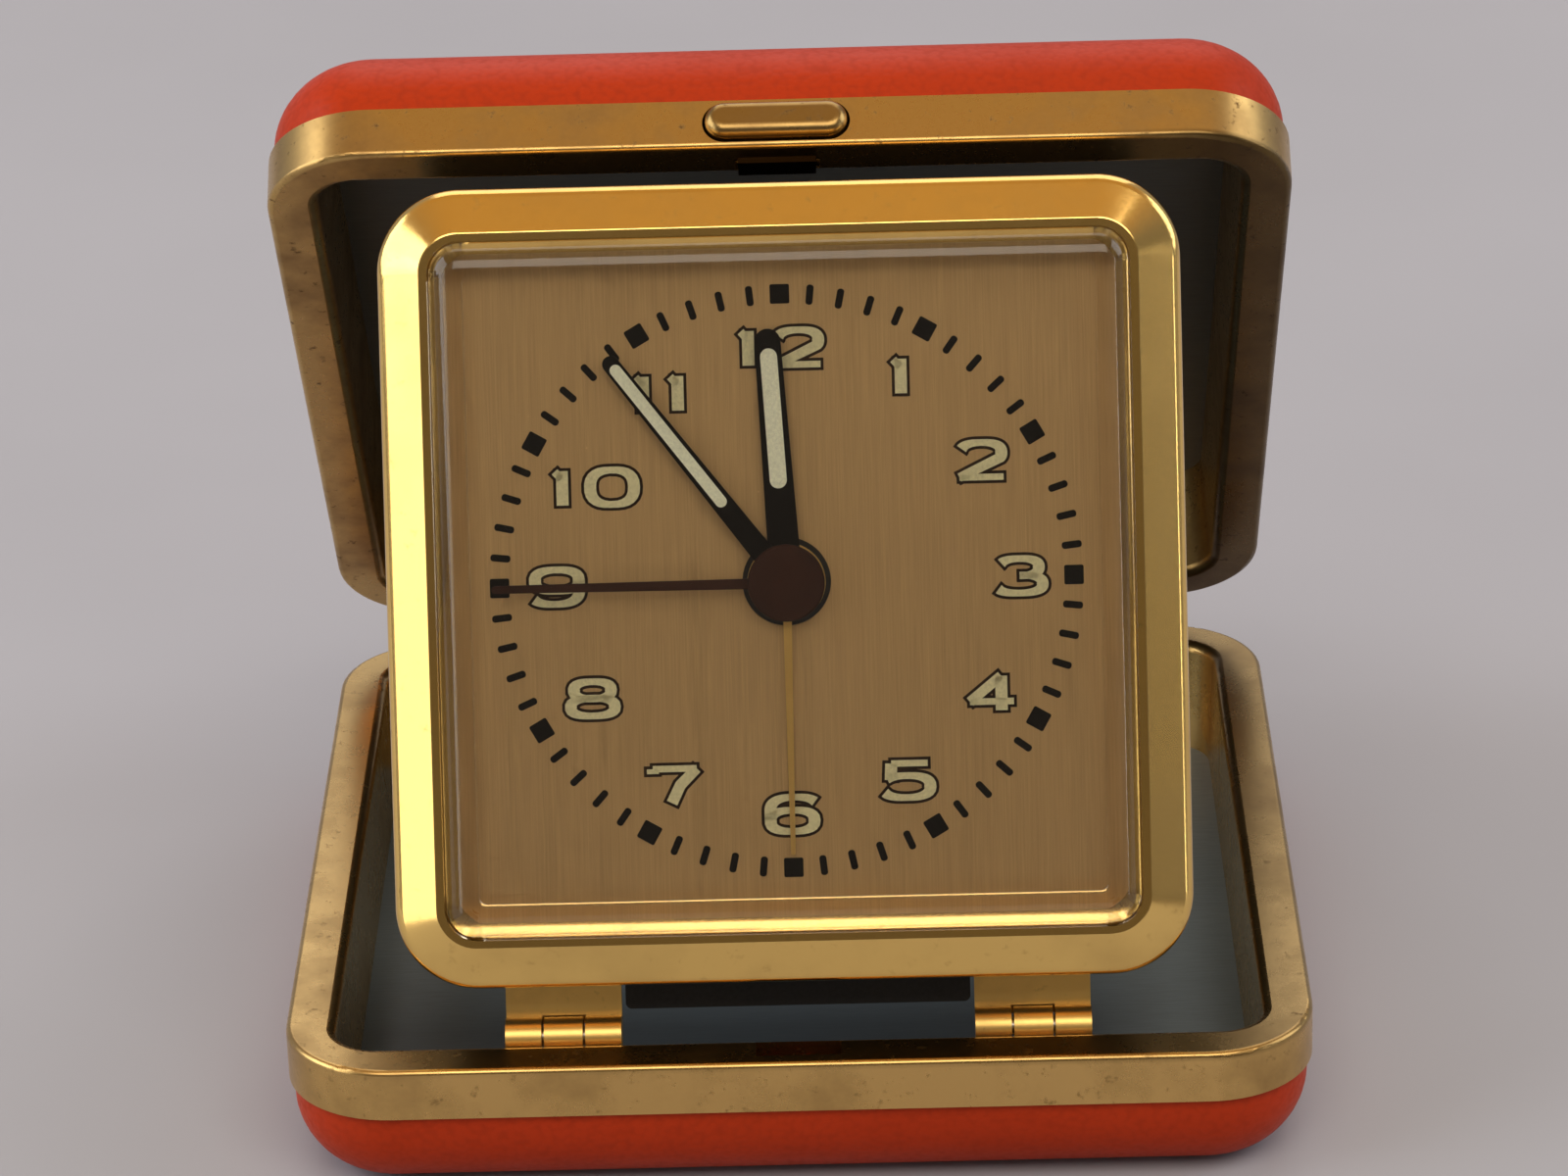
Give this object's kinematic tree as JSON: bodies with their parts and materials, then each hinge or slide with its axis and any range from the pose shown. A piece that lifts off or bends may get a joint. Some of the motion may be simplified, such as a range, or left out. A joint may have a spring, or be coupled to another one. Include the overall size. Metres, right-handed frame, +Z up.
{
  "type": "folding travel clock",
  "caption": "Folding travel alarm clock: a square brass-framed clock hinged inside a two-part grained case with brass rims, rear hinge and front push latch.",
  "frame": {"origin": "centre of the lower case half's flat underside", "axes": "+X to the right of someone facing the dial, +Y to the rear hinge, +Z up"},
  "size_m": [0.08, 0.0847, 0.0795],
  "materials": {
    "red_cover": "smooth grained orange-red cover, semi-gloss",
    "case_brass": "patinated brass frame",
    "bezel_brass": "polished brass",
    "grey_lining": "satin grey lining",
    "steel": "plain steel",
    "dark_steel": "blackened steel",
    "crystal_clear": "clear polished crystal",
    "dial_gold": "brushed champagne gold",
    "white_plastic": "moulded plastic",
    "black_plastic": "moulded black plastic",
    "copper_wire": "enamelled copper wire",
    "battery_can": "plain cell jacket",
    "buzzer_brass": "brass disc",
    "green_board": "resin board",
    "black_resin": "black resin",
    "wheel_plastic": "natural plastic",
    "knob_plastic": "moulded black plastic",
    "black_paint": "satin black painted",
    "brown_paint": "dark brown painted",
    "hand_brass": "thin brass",
    "lume": "pale luminous paint"
  },
  "bodies": {
    "base": {"base_cover": "red_cover", "base_rim": "case_brass", "base_lining": "grey_lining", "base_hinge_leaf": "case_brass", "main_hinge_pin": "steel", "hinge_bracket_left": "dark_steel", "hinge_bracket_right": "dark_steel", "clock_hinge_pins": "steel"},
    "lid": {"lid_cover": "red_cover", "lid_rim": "case_brass", "lid_lining": "grey_lining", "lid_hinge_leaf": "case_brass", "latch_spring": "steel"},
    "latch": {"latch_button": "case_brass"},
    "clock": {"clock_bezel": "bezel_brass", "crystal": "crystal_clear", "dial": "dial_gold", "front_plate": "white_plastic", "rear_housing": "black_plastic", "movement_bridge": "white_plastic", "stator": "steel", "coil_core": "steel", "coil": "copper_wire", "battery": "battery_can", "positive_contact": "steel", "negative_contact": "steel", "buzzer": "buzzer_brass", "housing_screws": "steel", "circuit_board": "green_board", "quartz_can": "steel", "control_chip": "black_resin", "hinge_strap_left": "bezel_brass", "hinge_strap_right": "bezel_brass"},
    "minute": {"minute_hand": "black_paint", "minute_lume": "lume", "minute_pipe": "wheel_plastic"},
    "hour": {"hour_hand": "black_paint", "hour_lume": "lume", "hour_wheel": "wheel_plastic"},
    "second": {"second_hand": "brown_paint", "centre_cap": "brown_paint", "second_arbor": "wheel_plastic"},
    "alarm": {"alarm_hand": "hand_brass", "alarm_wheel": "wheel_plastic"},
    "time_setting": {"time_knob": "knob_plastic", "time_arbor": "wheel_plastic"},
    "alarm_setting": {"alarm_knob": "knob_plastic", "alarm_arbor": "wheel_plastic"},
    "idler": {"idler_wheel": "wheel_plastic"},
    "rotor": {"motor_rotor": "wheel_plastic"},
    "switch": {"alarm_switch": "knob_plastic"},
    "door": {"battery_door": "black_plastic"}
  },
  "joints": [
    {"name": "lid_hinge", "type": "hinge", "parent": "base", "child": "lid", "pos_m": [0, 0.0411, 0.012], "axis": [-1, 0, 0], "range_deg": [0, 57.5]},
    {"name": "clock_hinge", "type": "hinge", "parent": "base", "child": "clock", "pos_m": [0, -0.0325, 0.0115], "axis": [-1, 0, 0], "range_deg": [0, 68.2]},
    {"name": "latch_press", "type": "slide", "parent": "lid", "child": "latch", "axis": [0, 0.6088, -0.7934], "range_m": [0, 0.0007], "stiffness_N_per_m": 400, "springref_m": -0.0008},
    {"name": "time_knob_turn", "type": "hinge", "parent": "clock", "child": "time_setting", "pos_m": [0.009, -0.01297, 0.04149], "axis": [0, -0.9285, 0.3714], "continuous": true},
    {"name": "minute_hand_turn", "type": "hinge", "parent": "clock", "child": "minute", "pos_m": [0, -0.02225, 0.0452], "axis": [0, -0.9285, 0.3714], "continuous": true},
    {"name": "hour_hand_turn", "type": "hinge", "parent": "clock", "child": "hour", "pos_m": [0, -0.02225, 0.0452], "axis": [0, -0.9285, 0.3714], "continuous": true},
    {"name": "alarm_knob_turn", "type": "hinge", "parent": "clock", "child": "alarm_setting", "pos_m": [-0.009, -0.01297, 0.04149], "axis": [0, -0.9285, 0.3714], "continuous": true},
    {"name": "alarm_hand_turn", "type": "hinge", "parent": "clock", "child": "alarm", "pos_m": [0, -0.02225, 0.0452], "axis": [0, -0.9285, 0.3714], "continuous": true},
    {"name": "second_hand_turn", "type": "hinge", "parent": "clock", "child": "second", "pos_m": [0, -0.02225, 0.0452], "axis": [0, -0.9285, 0.3714], "continuous": true},
    {"name": "idler_turn", "type": "hinge", "parent": "clock", "child": "idler", "pos_m": [0, -0.0146, 0.04818], "axis": [0, -0.9285, 0.3714], "continuous": true},
    {"name": "rotor_turn", "type": "hinge", "parent": "clock", "child": "rotor", "pos_m": [0.0024, -0.01306, 0.05203], "axis": [0, -0.9285, 0.3714], "continuous": true},
    {"name": "alarm_switch_slide", "type": "slide", "parent": "clock", "child": "switch", "axis": [0, 0.3714, 0.9285], "range_m": [0, 0.003]},
    {"name": "battery_door_slide", "type": "slide", "parent": "clock", "child": "door", "axis": [1, 0, 0], "range_m": [0, 0.003]}
  ],
  "couplings": [
    {"joint": "minute_hand_turn", "follows": "time_knob_turn", "ratio": -3},
    {"joint": "hour_hand_turn", "follows": "time_knob_turn", "ratio": -0.25},
    {"joint": "alarm_hand_turn", "follows": "alarm_knob_turn", "ratio": -0.25},
    {"joint": "idler_turn", "follows": "second_hand_turn", "ratio": -6},
    {"joint": "rotor_turn", "follows": "second_hand_turn", "ratio": 30}
  ]
}
